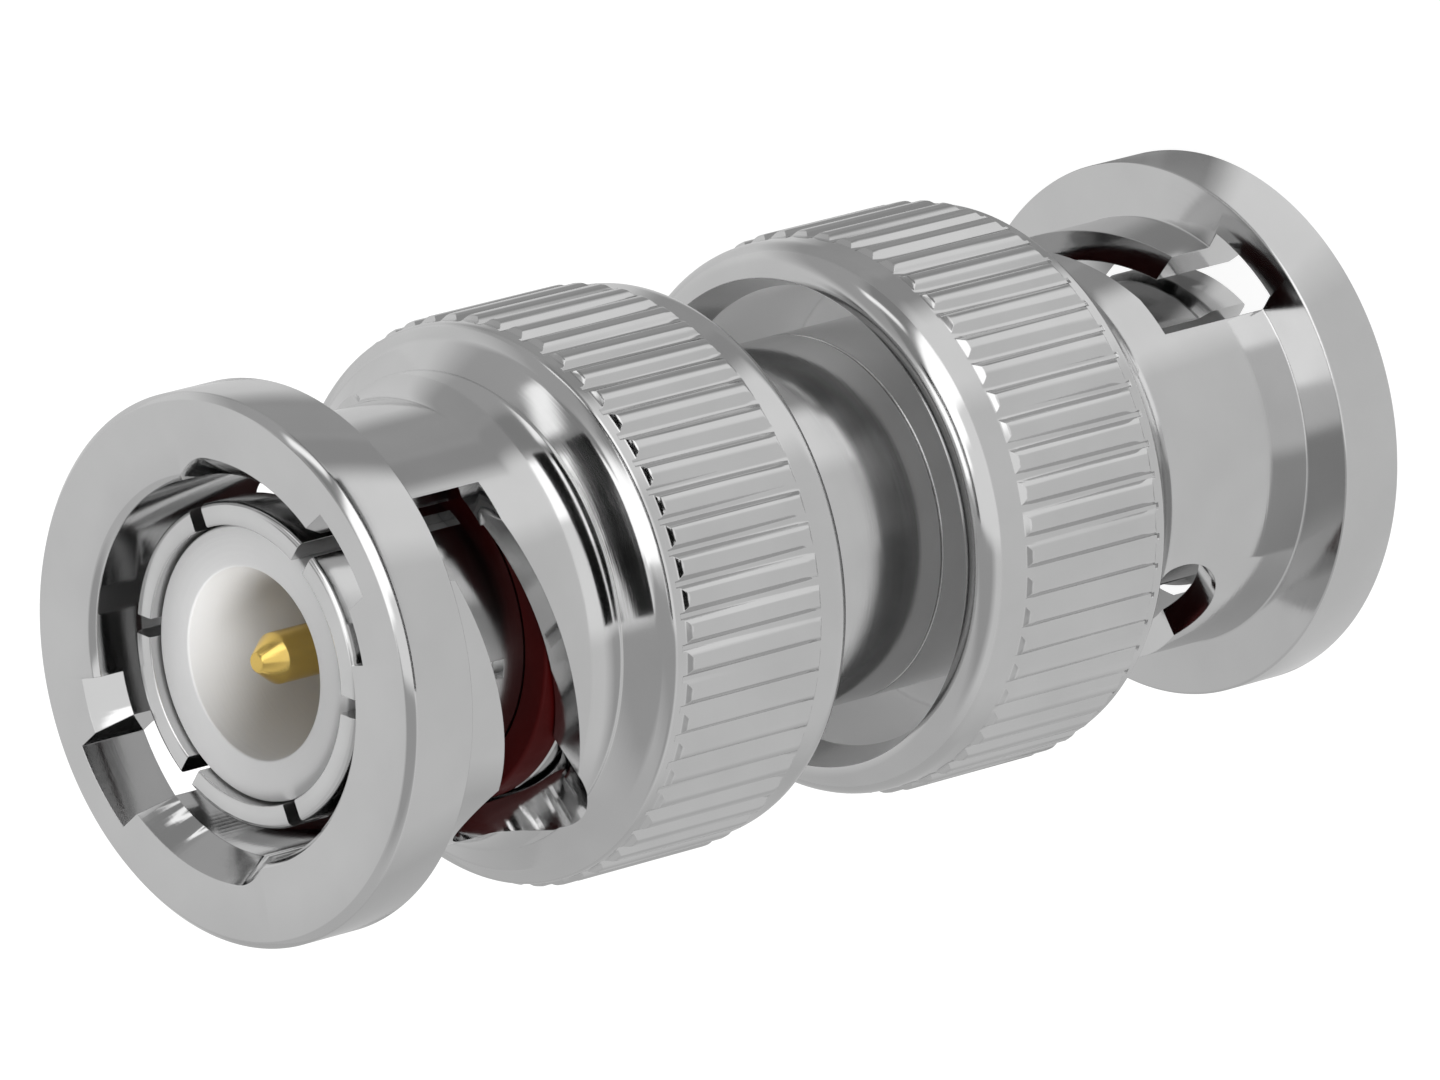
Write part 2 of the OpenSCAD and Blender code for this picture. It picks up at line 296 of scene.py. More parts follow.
def haze_group() -> NodeTree:
    """Soft clouds where a finish is a little duller or darker.

    Returns:
        A group with the input Size, in millimetres, and the output Mask.
    """
    graph, given, result = new_group("haze", {"Size": 3.0}, ["Mask"])
    scale = graph.math("DIVIDE", 1 / MM, given["Size"])
    clouds = graph.noise(graph.place(), scale, 4.0)
    graph.feed(result["Mask"], graph.spread(clouds, HAZE_FROM, HAZE_FULL, 0.0, 1.0))
    return graph.tree


def speck_group() -> NodeTree:
    """Tiny pits and dust specks, far apart.

    Returns:
        A group with inputs Size, in millimetres, and Amount, and the output Mask.
    """
    graph, given, result = new_group("specks", {"Size": 0.3, "Amount": 0.1}, ["Mask"])
    cells = graph.add("ShaderNodeTexVoronoi", feature="F1")
    scale = graph.math("DIVIDE", 1 / MM, given["Size"])
    graph.fill(cells, {"Vector": graph.place(), "Scale": scale})
    lit = graph.spread(cells.outputs["Distance"], SPECK_CORE, SPECK_RIM, 1.0, 0.0)
    parts = graph.add("ShaderNodeSeparateColor")
    graph.feed(parts.inputs[0], cells.outputs["Color"])
    chosen = graph.math("LESS_THAN", parts.outputs[0], given["Amount"])
    graph.feed(result["Mask"], graph.math("MULTIPLY", lit, chosen))
    return graph.tree


LATHE_MARKS = lathe_marks_group()
HAZE = haze_group()
SPECKS = speck_group()


# ---- finishes


def grey(level: float) -> Colour:
    """Linear colour with three equal channels."""
    return level, level, level


def new_material(name: str) -> tuple[Material, Graph, Node]:
    """Starts a material.

    Args:
        name: name of the material.

    Returns:
        The material, its graph and its Principled BSDF node.
    """
    material = bpy.data.materials.new(name)
    material.use_nodes = True
    return material, Graph(material.node_tree), material.node_tree.nodes["Principled BSDF"]


@dataclass(frozen=True)
class PlatedMetal:
    """Turned metal under a bright plate: colour, roughness and tool marks, with sizes in millimetres.

    The glow is painted light: it stands for light that a narrow bore gathers over many bounces.
    """

    name: str
    colour: Colour
    hazed_colour: Colour
    roughness: float
    hazed_roughness: float
    mark_pitch: float = 0.06
    mark_depth: float = 0.0006
    mark_break: float = 0.4
    mark_streaks: float = 0.08
    edge_round: float = 0.03
    haze_size: float = 2.5
    speck_size: float = 0.5
    speck_share: float = 0.06
    metallic: float = 1.0
    glow: float = 0.0

    def material(self) -> Material:
        """Builds the material."""
        material, graph, shader = new_material(self.name)
        haze = graph.group(HAZE, Size=self.haze_size).outputs["Mask"]
        specks = graph.group(SPECKS, Size=self.speck_size, Amount=self.speck_share).outputs["Mask"]
        marks = graph.group(LATHE_MARKS, Pitch=self.mark_pitch, Break=self.mark_break).outputs["Height"]
        rough = graph.spread(haze, 0.0, 1.0, self.roughness, self.hazed_roughness)
        streaks = graph.math("MULTIPLY", graph.math("SUBTRACT", marks, 0.5), self.mark_streaks)
        edges = None
        if self.edge_round:
            bevel = graph.add("ShaderNodeBevel", samples=4)
            graph.feed(bevel.inputs["Radius"], self.edge_round * MM)
            edges = bevel.outputs[0]
        graph.fill(shader, {
            "Base Color": graph.blend(haze, self.colour, self.hazed_colour),
            "Roughness": graph.math("ADD", rough, streaks),
            "Metallic": self.metallic,
            "Emission Color": WHITE,
            "Emission Strength": self.glow,
            "Normal": graph.bump(graph.math("SUBTRACT", marks, specks), self.mark_depth, edges),
        })
        return material


@dataclass(frozen=True)
class TurnedPlastic:
    """Turned white fluoropolymer, waxy and a little see-through at its edges."""

    name: str
    colour: Colour
    shaded_colour: Colour
    roughness: float
    marked_roughness: float
    scatter_depth: float
    scatter_share: float = 0.1
    scatter_radius: Colour = (1.0, 1.0, 0.95)
    haze_size: float = 4.0
    mark_pitch: float = 0.09
    mark_depth: float = 0.004
    mark_break: float = 0.2

    def material(self) -> Material:
        """Builds the material."""
        material, graph, shader = new_material(self.name)
        haze = graph.group(HAZE, Size=self.haze_size).outputs["Mask"]
        marks = graph.group(LATHE_MARKS, Pitch=self.mark_pitch, Break=self.mark_break).outputs["Height"]
        graph.fill(shader, {
            "Base Color": graph.blend(haze, self.colour, self.shaded_colour),
            "Roughness": graph.spread(marks, 0.3, 0.7, self.roughness, self.marked_roughness),
            "Subsurface Weight": self.scatter_share,
            "Subsurface Radius": self.scatter_radius,
            "Subsurface Scale": self.scatter_depth * MM,
            "Normal": graph.bump(marks, self.mark_depth),
        })
        return material


@dataclass(frozen=True)
class MouldedRubber:
    """Soft moulded rubber with a fine matt grain."""

    name: str
    colour: Colour
    dusted_colour: Colour
    roughness: float
    dusted_roughness: float
    mirror_share: float = 0.15
    haze_size: float = 1.2
    grain_size: float = 0.2
    grain_share: float = 0.2
    grain_depth: float = 0.01

    def material(self) -> Material:
        """Builds the material."""
        material, graph, shader = new_material(self.name)
        haze = graph.group(HAZE, Size=self.haze_size).outputs["Mask"]
        grain = graph.group(SPECKS, Size=self.grain_size, Amount=self.grain_share).outputs["Mask"]
        graph.fill(shader, {
            "Base Color": graph.blend(haze, self.colour, self.dusted_colour),
            "Roughness": graph.spread(haze, 0.0, 1.0, self.roughness, self.dusted_roughness),
            "Specular IOR Level": self.mirror_share,
            "Normal": graph.bump(grain, self.grain_depth),
        })
        return material


class Finishes:
    """The finishes of the adapter, one material for each slot and kind of piece."""

    def __init__(self) -> None:
        """Builds every material once."""
        self.nickel = PlatedMetal(
            "bright_nickel", grey(0.63), grey(0.60), 0.08, 0.13, mark_depth=0.0005
        ).material()
        # Painted light: the rear bore wall gets a brighter, half-diffuse copy of the nickel with a faint
        # glow, so that the deep bore looks lit.
        self.bore_nickel_painted_light = PlatedMetal(
            "bore_nickel_painted_light", grey(0.95), grey(0.91), 0.4, 0.5,
            mark_depth=0.0008, edge_round=0.0, metallic=0.4, glow=0.09,
        ).material()
        self.sleeve_nickel = PlatedMetal("sleeve_nickel", grey(0.64), grey(0.60), 0.11, 0.16).material()
        self.finger_nickel = PlatedMetal(
            "sprung_nickel", grey(0.70), grey(0.64), 0.14, 0.22, mark_pitch=0.04, edge_round=0.02
        ).material()
        self.body_nickel = PlatedMetal(
            "body_nickel", grey(0.60), grey(0.56), 0.12, 0.18, edge_round=0.0
        ).material()
        self.gold = PlatedMetal(
            "bright_gold", (0.88, 0.64, 0.20), (0.78, 0.54, 0.14), 0.14, 0.22,
            mark_pitch=0.04, edge_round=0.02,
        ).material()
        self.spring_steel = PlatedMetal(
            "spring_steel", (0.50, 0.50, 0.51), (0.44, 0.44, 0.45), 0.28, 0.36,
            mark_pitch=0.05, mark_depth=0.001, edge_round=0.0,
        ).material()
        self.fluoropolymer = TurnedPlastic(
            "turned_fluoropolymer", grey(0.74), grey(0.71), 0.42, 0.54, scatter_depth=0.3
        ).material()
        self.rubber = MouldedRubber(
            "red_silicone", (0.034, 0.0008, 0.0008), (0.026, 0.0008, 0.0008), 0.5, 0.65
        ).material()


# ---- turned shapes


@dataclass(frozen=True)
class Corner:
    """A corner of a turned profile, in millimetres, and the round that it ends in."""

    radius: float
    depth: float
    rounding: float = 0.0


def turned(profile: Sequence[Corner], closed: bool = True, steps: int = ROUND_STEPS) -> BMesh:
    """Spins a profile round the axis.

    Args:
        profile: corners in order.
        closed: whether the last corner joins the first; an open profile ends on the axis.
        steps: number of steps of the full turn.

    Returns:
        A closed bmesh, in millimetres.
    """
    shape = bmesh.new()
    points = [shape.verts.new((corner.radius, 0, corner.depth)) for corner in profile]
    pairs = list(zip(points, points[1:]))
    if closed:
        pairs.append((points[-1], points[0]))
    for pair in pairs:
        shape.edges.new(pair)
    for corner, point in zip(profile, points):
        if corner.rounding:
            bmesh.ops.bevel(
                shape, geom=[point], offset=corner.rounding, offset_type="OFFSET", affect="VERTICES",
                segments=ARC_STEPS[corner.rounding >= LARGE_ARC], profile=0.5, material=-1,
            )
    bmesh.ops.spin(
        shape, geom=shape.verts[:] + shape.edges[:], cent=(0, 0, 0), axis=(0, 0, 1),
        angle=math.tau, steps=steps, use_merge=True,
    )
    bmesh.ops.remove_doubles(shape, verts=shape.verts[:], dist=1e-5)
    bmesh.ops.recalc_face_normals(shape, faces=shape.faces[:])
    return shape


def turn(shape: BMesh, angle: float, axis: str = "Z") -> None:
    """Turns a whole bmesh about one of the main axes, by an angle in radians."""
    bmesh.ops.rotate(shape, cent=(0, 0, 0), matrix=Matrix.Rotation(angle, 3, axis), verts=shape.verts[:])


def move(shape: BMesh, *offset: float) -> None:
    """Moves a whole bmesh by x, y and z."""
    bmesh.ops.translate(shape, vec=offset, verts=shape.verts[:])


def cylinder(radius: float, height: float, steps: int) -> BMesh:
    """Closed cylinder along z with its middle at the origin."""
    shape = bmesh.new()
    bmesh.ops.create_cone(shape, cap_ends=True, segments=steps, radius1=radius, radius2=radius, depth=height)
    return shape


def block(*size: float) -> BMesh:
    """Closed block with its middle at the origin."""
    shape = bmesh.new()
    bmesh.ops.create_cube(shape, size=1.0)
    bmesh.ops.scale(shape, vec=size, verts=shape.verts[:])
    return shape


def add_object(name: str, data: ID) -> Object:
    """Adds an object with its data to the scene."""
    item = bpy.data.objects.new(name, data)
    bpy.context.scene.collection.objects.link(item)
    return item


def new_object(name: str, shape: BMesh, placement: Matrix | None = None) -> Object:
    """Makes an object of a bmesh, with its place in its mesh, and frees the bmesh.

    Args:
        name: name of the object.
        shape: the bmesh.
        placement: matrix applied to the mesh.

    Returns:
        The object, linked to the scene.
    """
    if placement is not None:
        bmesh.ops.transform(shape, matrix=placement, verts=shape.verts[:])
    mesh = bpy.data.meshes.new(name)
    shape.to_mesh(mesh)
    shape.free()
    return add_object(name, mesh)


def cut(piece: Object, cutter: Object) -> None:
    """Takes a cutter away from a piece and removes the cutter.

    Args:
        piece: the piece, whose mesh is replaced.
        cutter: a closed object.
    """
    modifier = piece.modifiers.new("cut", "BOOLEAN")
    modifier.operation = "DIFFERENCE"
    modifier.solver = "EXACT"
    modifier.object = cutter
    settled = piece.evaluated_get(bpy.context.evaluated_depsgraph_get())
    mesh = bpy.data.meshes.new_from_object(settled)
    piece.modifiers.clear()
    piece.data = mesh
    bpy.data.objects.remove(cutter)


def smooth(piece: Object, sharp_deg: float = 34.0) -> None:
    """Shades a piece smooth up to an angle between faces, with its flat faces kept flat."""
    piece.data.shade_smooth()
    piece.data.set_sharp_from_angle(angle=math.radians(sharp_deg))
    even = piece.modifiers.new("even_normals", "WEIGHTED_NORMAL")
    even.mode = "FACE_AREA"
    even.keep_sharp = True


def span(node: str, end: End = End.LOWER) -> tuple[float, float, float]:
    """Reads where a CAD node stands.

    Args:
        node: the CAD node.
        end: the end from whose front face depths are taken.

    Returns:
        Its least and greatest depth and its outer radius, in millimetres.
    """
    low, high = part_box(node)
    outer_r = max(high.x - low.x, high.y - low.y) / 2 / MM
    if end is End.UPPER:
        return LENGTH - high.z / MM, LENGTH - low.z / MM, outer_r
    return low.z / MM, high.z / MM, outer_r


def hand_over(piece: Object, node: str, slot: Slot, material: Material, *others: Material) -> None:
    """Gives a new piece its shading and materials, and lets it stand for a CAD node on its body.

    Args:
        piece: the finished piece.
        node: the CAD node that it replaces.
        slot: the record's slot of its finish; not used.
        material: its material.
        *others: materials of faces that carry a higher index.
    """
    smooth(piece)
    indices = [face.material_index if others else 0 for face in piece.data.polygons]
    piece.data.materials.clear()
    for item in (material, *others):
        piece.data.materials.append(item)
    piece.data.polygons.foreach_set("material_index", indices)
    bodies = frame["record"]["behaviour"]["bodies"]
    body = next(name for name, nodes in bodies.items() if node in nodes)
    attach(piece, body)
    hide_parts(node)
    LOG.info("%s: %d faces, rides on %s", piece.name, len(piece.data.polygons), body)


# ---- coupling nut


@dataclass
class CouplingNut:
    """Coupling nut of one end: turned blank, knurl, two lug paths and their lead-ins."""

    end: End
    turn_deg: float
    flange_r: float = 7.2
    flange_w: float = 2.1
    flange_chamfer: float = 0.2
    neck_r: float = 5.75
    neck_end: float = 7.25
    fillet: float = 0.5
    bead_r: float = 6.28
    bead_w: float = 0.06
    shoulder_r: float = 6.94
    collar_r: float = 7.35
    collar_w: float = 0.55
    knurl_w: float = 4.7
    knurl_count: int = 56
    knurl_depth: float = 0.2
    groove_top: float = 0.44
    groove_floor: float = 0.12
    groove_runout: float = 0.12
    groove_fade: float = 0.5
    groove_steps: int = 16
    crown: float = 0.12
    crown_power: float = 1.6
    ridge_clear: float = 0.004
    knurl_past: float = 0.3
    rim_r: float = 0.85
    bore_r: float = 4.95
    mouth_chamfer: float = 0.15
    web_at: float = 9.5
    web_w: float = 0.6
    web_bore_r: float = 3.28
    rear_bore_r: float = 6.1
    rear_taper_w: float = 1.1
    entry_w: float = 2.4
    entry_depth: float = 5.7
    entry_floor_r: float = 3.9
    lug_circle_r: float = 6.25
    slot_w: float = 2.5
    slot_lead: float = 9.0
    slot_reach: float = 5.0
    slot_under: float = 0.2
    lock_deg: float = 86.4
    seat_r: float = 1.8
    seat_drop: float = 0.2
    seat_middle_r: float = 5.97
    seat_reach: float = 4.0
    seat_steps: int = 72
    lead_in_r: float = 5.55
    lead_in_w: float = 0.9
    lead_in_under: float = 0.12
    lead_in_deg: float = 58.0
    back_lead_in_deg: float = 17.0
    run_out_steps: int = 9
    length: float = field(init=False)
    knurl_r: float = field(init=False)

    def __post_init__(self) -> None:
        """Takes the length and the knurl's radius from the CAD node."""
        _, self.length, self.knurl_r = span(self.end.node("coupling_nut"), self.end)

    @property
    def bead_at(self) -> float:
        """Depth of the small bead half way up the shoulder."""
        return self.neck_end + self.bead_r - self.neck_r + self.fillet * (math.sqrt(2) - 1)

    @property
    def shoulder_end(self) -> float:
        """Depth at which the shoulder meets the collar."""
        return self.bead_at + self.bead_w + self.shoulder_r - self.bead_r

    @property
    def knurl_at(self) -> float:
        """Depth at which the knurl starts."""
        return self.shoulder_end + self.collar_w

    @property
    def slot_at(self) -> float:
        """Depth of the slot's middle line where it leaves the entry."""
        return self.entry_depth - self.slot_w / 2

    @property
    def slot_rise(self) -> float:
        """How much deeper the slot ends than it starts."""
        return self.slot_lead * self.lock_deg / 360

    def blank(self) -> BMesh:
        """Turns the nut before its grooves and slots are cut."""
        knurl_end = self.knurl_at + self.knurl_w
        chamfer = self.knurl_r - self.collar_r
        rise = (self.collar_r - self.shoulder_r) / 2
        web_end = self.web_at + self.web_w
        return turned(
            [
                Corner(self.bore_r + self.mouth_chamfer, 0, 0.03),
                Corner(self.flange_r - self.flange_chamfer, 0, 0.03),
                Corner(self.flange_r, self.flange_chamfer, 0.04),
                Corner(self.flange_r, self.flange_w, 0.06),
                Corner(self.neck_r, self.flange_w, 0.05),
                Corner(self.neck_r, self.neck_end + self.fillet * math.tan(math.pi / 8), 0.7),
                Corner(self.bead_r, self.bead_at, 0.02),
                Corner(self.bead_r, self.bead_at + self.bead_w, 0.02),
                Corner(self.shoulder_r, self.shoulder_end, 0.08),
                Corner(self.collar_r, self.shoulder_end + rise, 0.12),
                Corner(self.collar_r, self.knurl_at, 0.04),
                Corner(self.knurl_r, self.knurl_at + chamfer, 0.06),
                Corner(self.knurl_r, knurl_end - chamfer, 0.06),
                Corner(self.collar_r, knurl_end, 0.04),
                Corner(self.collar_r, self.length, self.rim_r - CLEAR),
                Corner(self.collar_r - self.rim_r, self.length, 0.0),
                Corner(self.rear_bore_r, self.length - self.rear_taper_w, 0.1),
                Corner(self.rear_bore_r, web_end, 0.08),
                Corner(self.web_bore_r, web_end, 0.04),
                Corner(self.web_bore_r, self.web_at, 0.04),
                Corner(self.bore_r, self.web_at),
                Corner(self.bore_r, self.mouth_chamfer, 0.03),
            ]
        )

    def groove_depth(self, angle: float) -> float:
        """Finds the depth of the knurl, which has crowned ridges and narrow groove floors.

        Args:
            angle: place round the axis, in radians.

        Returns:
            The depth under the knurl's radius, in millimetres.
        """
        pitch = math.tau / self.knurl_count
        aside = abs((angle / pitch + 0.5) % 1.0 - 0.5) * pitch * self.knurl_r
        top, floor = self.groove_top / 2, self.groove_floor / 2
        share = min(max((top + self.crown - aside) / (top + self.crown - floor), 0.0), 1.0)
        return self.knurl_depth * share ** self.crown_power

    def knurl_cutter(self) -> BMesh:
        """Makes the ring that leaves the ridges of the knurl, with floors that rise at the rear."""
        shape = bmesh.new()
        start = self.knurl_at - self.groove_runout
        end = self.knurl_at + self.knurl_w + self.groove_runout
        fade_at = end - self.groove_fade
        steps = self.knurl_count * self.groove_steps
        outer_r = self.knurl_r + self.knurl_past
        loops = []
        for least_r, depth in (
            (0.0, start), (0.0, fade_at), (self.collar_r + CLEAR, end), (outer_r, end), (outer_r, start)
        ):
            ring = bmesh.ops.create_circle(shape, radius=1.0, segments=steps)["verts"]
            for vert in ring:
                angle = math.atan2(vert.co.y, vert.co.x)
                reach = max(self.knurl_r + self.ridge_clear - self.groove_depth(angle), least_r)
                vert.co = Vector((reach * math.cos(angle), reach * math.sin(angle), depth))
            loops.append([edge for edge in shape.edges if edge.verts[0] in ring and edge.verts[1] in ring])
        for first, second in zip(loops, loops[1:] + loops[:1]):
            bmesh.ops.bridge_loops(shape, edges=first + second)
        bmesh.ops.recalc_face_normals(shape, faces=shape.faces[:])
        return shape

    def entry_cutter(self) -> BMesh:
        """Makes the axial entry of one lug, which ends at the lug circle."""
        shape = cylinder(self.lug_circle_r, self.entry_depth + PAST, ROUND_STEPS)
        move(shape, 0, 0, (self.entry_depth - PAST) / 2)
        half = self.entry_w / 2
        for place, outward in (
            ((0, half, 0), (0, 1, 0)), ((0, -half, 0), (0, -1, 0)), ((self.entry_floor_r, 0, 0), (-1, 0, 0))
        ):
            geometry = shape.verts[:] + shape.edges[:] + shape.faces[:]
            kept = bmesh.ops.bisect_plane(
                shape, geom=geometry, plane_co=place, plane_no=outward, clear_outer=True
            )
            rim = [item for item in kept["geom_cut"] if isinstance(item, BMEdge)]
            bmesh.ops.edgeloop_fill(shape, edges=rim)
        bmesh.ops.recalc_face_normals(shape, faces=shape.faces[:])
        return shape

    def slot_cutter(self) -> BMesh:
        """Makes the slanting slot of one lug, milled straight across the chord."""
        half_turn = math.radians(self.lock_deg / 2)
        half_chord = self.neck_r * math.sin(half_turn)
        rise = self.slot_rise / 2
        slant = math.atan(rise / half_chord)
        width = self.slot_w * math.cos(slant)
        chord = 2 * self.lug_circle_r * math.sin(half_turn) / math.cos(slant)
        inner = self.bore_r * math.cos(half_turn) - self.slot_under
        shape = block(self.slot_reach, chord, width)
        turn(shape, slant, "X")
        move(shape, inner + self.slot_reach / 2, 0, self.slot_at + rise)
        turn(shape, half_turn)
        return shape

    def seat_cutter(self) -> BMesh:
        """Makes the round seat at the end of one slot."""
        shape = cylinder(self.seat_r, self.seat_reach, self.seat_steps)
        turn(shape, math.pi / 2, "Y")
        move(shape, self.seat_middle_r, 0, self.slot_at + self.slot_rise - self.seat_drop)
        turn(shape, math.radians(self.lock_deg))
        return shape

    def lead_in_cutter(self) -> BMesh:
        """Makes the flared lead-in, long on the side that a lug comes from, with a run-out."""
        shape = bmesh.new()
        inner = self.bore_r - self.lead_in_under
        corners = [
            (self.bore_r - PAST, -PAST), (self.lead_in_r, -PAST), (self.lead_in_r, 0),
            (self.bore_r, self.lead_in_w), (self.bore_r - PAST, self.lead_in_w),
        ]
        half_entry = math.degrees(math.asin(self.entry_w / 2 / self.lug_circle_r))
        step = math.tau / ROUND_STEPS
        first = round(math.radians(-half_entry - self.lead_in_deg) / step)
        count = round(math.radians(2 * half_entry + self.lead_in_deg + self.back_lead_in_deg) / step)
        face = shape.faces.new([shape.verts.new((radius, 0, depth)) for radius, depth in corners])
        turn(shape, first * step)
        bmesh.ops.spin(
            shape, geom=[face], cent=(0, 0, 0), axis=(0, 0, 1), angle=count * step, steps=count,
            use_duplicate=False,
        )
        for vert in shape.verts:
            reach = math.hypot(vert.co.x, vert.co.y)
            share = (math.atan2(vert.co.y, vert.co.x) - first * step) / (self.run_out_steps * step)
            if reach > inner and share < 1.0:
                scale = (inner + (reach - inner) * math.sin(max(share, 0.0) * math.pi / 2)) / reach
                vert.co.x *= scale
                vert.co.y *= scale
        bmesh.ops.recalc_face_normals(shape, faces=shape.faces[:])
        return shape

    def build(self, finishes: Finishes) -> None:
        """Builds the nut and lets it stand for its CAD node.

        Args:
            finishes: the adapter's finishes.
        """
        node = self.end.node("coupling_nut")
        nut = new_object(f"{node}_dressed", self.blank())
        cut(nut, new_object("knurl_cutter", self.knurl_cutter()))
        for side in (0.0, math.pi):
            placement = Matrix.Rotation(side, 4, "Z")
            for maker in (self.entry_cutter, self.slot_cutter, self.seat_cutter, self.lead_in_cutter):
                cut(nut, new_object("cutter", maker(), placement))
        spun = Matrix.Rotation(math.radians(self.turn_deg), 4, "Z")
        web_end, taper_at = self.web_at + self.web_w, self.length - self.rear_taper_w
        # Faces of the rear bore wall take the second material, the painted-light copy of the nickel.
        for face in nut.data.polygons:
            inside = face.center.xy.length < self.rear_bore_r + SLACK
            face.material_index = int(inside and web_end - SLACK < face.center.z < taper_at)
        nut.data.transform(self.end.placement() @ spun)
        hand_over(nut, node, Slot.NICKEL, finishes.nickel, finishes.bore_nickel_painted_light)


# ---- contact, seal and sleeve of one end


@dataclass
class OuterContact:
    """Slotted outer contact of one end, with full-size finger tips."""

    end: End
    tip_w: float = 1.3
    wall_r: float = 4.05
    bore_r: float = 3.63
    finger_count: int = 6
    finger_gap: float = 0.5
    finger_length: float = 5.2
    saw_w: float = 12.0

    def saw_cut(self, tip_at: float, angle: float) -> BMesh:
        """Makes one saw cut right across the contact.

        Args:
            tip_at: depth of the finger tips.
            angle: turn of the cut round the axis, in radians.

        Returns:
            A closed bmesh, in millimetres.
        """
        shape = block(self.saw_w, self.finger_gap, self.finger_length + PAST)
        move(shape, 0, 0, tip_at + (self.finger_length - PAST) / 2)
        turn(shape, angle)
        return shape

    def build(self, finishes: Finishes) -> None:
        """Builds the contact and lets it stand for its CAD node.

        Args:
            finishes: the adapter's finishes.
        """
        node = self.end.node("outer_contact")
        tip_at, back, tip_r = span(node, self.end)
        land_end = tip_at + self.tip_w
        profile = [
            Corner(self.bore_r, tip_at, 0.05),
            Corner(tip_r, tip_at, 0.16),
            Corner(tip_r, land_end, 0.05),
            Corner(self.wall_r, land_end + 2 * (tip_r - self.wall_r), 0.05),
            Corner(self.wall_r, back),
            Corner(self.bore_r, back),
        ]
        contact = new_object(f"{node}_dressed", turned(profile))
        for index in range(self.finger_count // 2):
            angle = math.tau * index / self.finger_count
            cut(contact, new_object("saw_cut", self.saw_cut(tip_at, angle)))
        contact.data.transform(self.end.placement())
        hand_over(contact, node, Slot.NICKEL, finishes.finger_nickel)


@dataclass
class Insulator:
    """White insulator of one end: a socketed head inside the fingers and a stem in the body."""

    end: End
    socket_r: float = 2.5
    socket_w: float = 5.2
    head_end: float = 8.2
    stem_r: float = 2.5

    def build(self, finishes: Finishes) -> None:
        """Builds the insulator and lets it stand for its CAD node.

        Args:
            finishes: the adapter's finishes.
        """
        node = self.end.node("insulator")
        face_at, middle, head_r = span(node, self.end)
        socket_end = face_at + self.socket_w
        collar_at = middle - PIN_COLLAR_W / 2
        profile = [
            Corner(self.socket_r, face_at, 0.06),
            Corner(head_r, face_at, 0.06),
            Corner(head_r, self.head_end, 0.05),
            Corner(self.stem_r, self.head_end),
            Corner(self.stem_r, middle),
            Corner(PIN_COLLAR_R, middle),
            Corner(PIN_COLLAR_R, collar_at),
            Corner(PIN_CORE_R, collar_at),
            Corner(PIN_CORE_R, socket_end, 0.02),
            Corner(self.socket_r, socket_end, 0.15),
        ]
        insulator = new_object(f"{node}_dressed", turned(profile), self.end.placement())
        hand_over(insulator, node, Slot.FLUOROPOLYMER, finishes.fluoropolymer)


@dataclass
class Ring:
    """A plain turned or moulded ring of one end, such as its gasket or sleeve."""

    end: End
    part: str
    inner_r: float
    rounding: float

    def build(self, slot: Slot, material: Material) -> None:
        """Builds the ring and lets it stand for its CAD node.

        Args:
            slot: the record's slot of its finish.
            material: its material.
        """
        node = self.end.node(self.part)
        front, back, outer_r = span(node, self.end)
        profile = [
            Corner(self.inner_r, front),
            Corner(outer_r, front, self.rounding),
            Corner(outer_r, back, self.rounding),
            Corner(self.inner_r, back),
        ]
        ring = new_object(f"{node}_dressed", turned(profile), self.end.placement())
        hand_over(ring, node, slot, material)


@dataclass
class WaveWasher:
    """Wave washer of one end, hidden in the nut. The real one flattens as the nut is pulled; this one keeps
    its wavy shape.
    """

    end: End
    inner_r: float = 3.28
    strip_w: float = 0.14
    rounding: float = 0.02
    waves: int = 3
    travel: float = 0.4

    def build(self, finishes: Finishes) -> None:
        """Builds the washer and lets it stand for its CAD node.

        Args:
            finishes: the adapter's finishes.
        """
        node = self.end.node("wave_washer")
        front, back, outer_r = span(node, self.end)
        rear = front + self.strip_w
        sides = ((self.inner_r, front), (outer_r, front), (outer_r, rear), (self.inner_r, rear))
        shape = turned([Corner(radius, depth, self.rounding) for radius, depth in sides])
        lift = (back - front - self.strip_w) / 2
        for vert in shape.verts:
            vert.co.z += lift * (1 + math.cos(self.waves * math.atan2(vert.co.y, vert.co.x)))
        washer = new_object(f"{node}_dressed", shape, self.end.placement())
        hand_over(washer, node, Slot.SPRING_STEEL, finishes.spring_steel)
        tuple(self.end.placement() @ Vector((0, 0, front)))
        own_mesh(washer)


# ---- barrel and pin


@dataclass
class Barrel:
    """Plain middle barrel, whose broken edges show as fine seams beside the sleeves."""

    bore_r: float = 3.2
    chamfer: float = 0.08

    def build(self, finishes: Finishes) -> None:
        """Builds the barrel and lets it stand for its CAD node.

        Args:
            finishes: the adapter's finishes.
        """
        start, end, outer_r = span("barrel")
        profile = [
            Corner(self.bore_r, start),
            Corner(outer_r - self.chamfer, start),
            Corner(outer_r, start + self.chamfer, 0.02),
            Corner(outer_r, end - self.chamfer, 0.02),
            Corner(outer_r - self.chamfer, end),
            Corner(self.bore_r, end),
        ]
        barrel = new_object("barrel_dressed", turned(profile), Matrix.Scale(MM, 4))
        hand_over(barrel, "barrel", Slot.NICKEL, finishes.sleeve_nickel)


